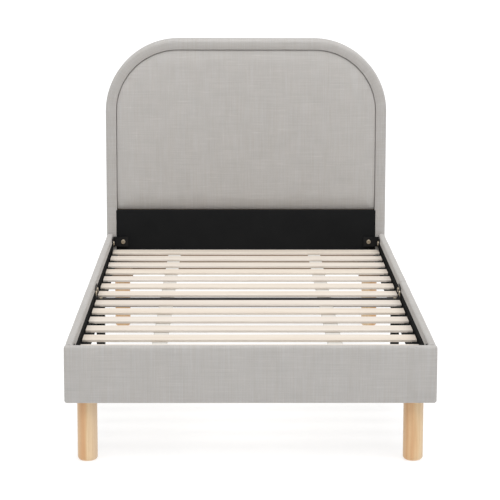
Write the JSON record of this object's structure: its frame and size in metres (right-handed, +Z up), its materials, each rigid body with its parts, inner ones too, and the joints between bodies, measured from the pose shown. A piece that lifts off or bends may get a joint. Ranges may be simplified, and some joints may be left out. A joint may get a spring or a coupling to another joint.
{
  "type": "toddler bed",
  "caption": "Upholstered toddler bed with an arched padded headboard, low padded rails, two loose slat mats and round wooden legs.",
  "frame": {"origin": "on the floor, under the middle of the bed's length and width", "axes": "+Z up, +Y from the foot end to the headboard, +X to the right seen from the foot end"},
  "size_m": [0.773, 1.51, 0.792],
  "materials": {
    "linen_fabric": "linen-look woven upholstery, warm light grey",
    "black_lining": "black non-woven lining",
    "beech": "natural beech, clear satin lacquer",
    "slat_wood": "pale layered beech, unfinished",
    "board_wood": "raw plywood",
    "black_steel": "black powder coat",
    "zinc_steel": "yellow zinc plate",
    "white_webbing": "white woven webbing",
    "black_plastic": "matte"
  },
  "bodies": {
    "bed_frame": {"headboard_frame": "board_wood", "headboard_border": "linen_fabric", "headboard_panel": "linen_fabric", "headboard_lower_lining": "black_lining", "headboard_back_cover": "black_lining", "rail_board_front_left": "board_wood", "rail_board_rear_left": "board_wood", "rail_board_front_right": "board_wood", "rail_board_rear_right": "board_wood", "rail_cover_front_left": "linen_fabric", "rail_cover_rear_left": "linen_fabric", "rail_cover_front_right": "linen_fabric", "rail_cover_rear_right": "linen_fabric", "rail_lining_front_left": "black_lining", "rail_lining_rear_left": "black_lining", "rail_lining_front_right": "black_lining", "rail_lining_rear_right": "black_lining", "batten_front_left": "black_lining", "batten_rear_left": "black_lining", "batten_front_right": "black_lining", "batten_rear_right": "black_lining", "front_rail_board": "board_wood", "front_rail_cover": "linen_fabric", "front_rail_lining": "black_lining", "front_corner_brackets": "black_steel", "rear_corner_brackets": "black_steel", "joining_plate_left": "black_steel", "joining_plate_right": "black_steel", "frame_bolts": "zinc_steel", "cross_beam": "black_steel", "mid_post_left": "black_steel", "mid_post_right": "black_steel", "post_caps": "black_plastic", "beam_bolts": "zinc_steel", "leg_front_left": "beech", "leg_front_right": "beech", "leg_rear_left": "beech", "leg_rear_right": "beech", "corner_blocks": "board_wood", "leg_bolts": "zinc_steel"},
    "front_slat_mat": {"slat_front_1": "slat_wood", "slat_front_2": "slat_wood", "slat_front_3": "slat_wood", "slat_front_4": "slat_wood", "slat_front_5": "slat_wood", "slat_front_6": "slat_wood", "slat_front_7": "slat_wood", "tape_front_left": "white_webbing", "tape_front_right": "white_webbing", "staples_front": "zinc_steel"},
    "rear_slat_mat": {"slat_rear_1": "slat_wood", "slat_rear_2": "slat_wood", "slat_rear_3": "slat_wood", "slat_rear_4": "slat_wood", "slat_rear_5": "slat_wood", "slat_rear_6": "slat_wood", "slat_rear_7": "slat_wood", "tape_rear_left": "white_webbing", "tape_rear_right": "white_webbing", "staples_rear": "zinc_steel"}
  },
  "joints": [
    {"name": "front_mat_slide", "type": "slide", "parent": "bed_frame", "child": "front_slat_mat", "axis": [0, 1, 0], "range_m": [-0.042, 0.01]},
    {"name": "rear_mat_slide", "type": "slide", "parent": "bed_frame", "child": "rear_slat_mat", "axis": [0, 1, 0], "range_m": [-0.032, 0.0095]}
  ]
}
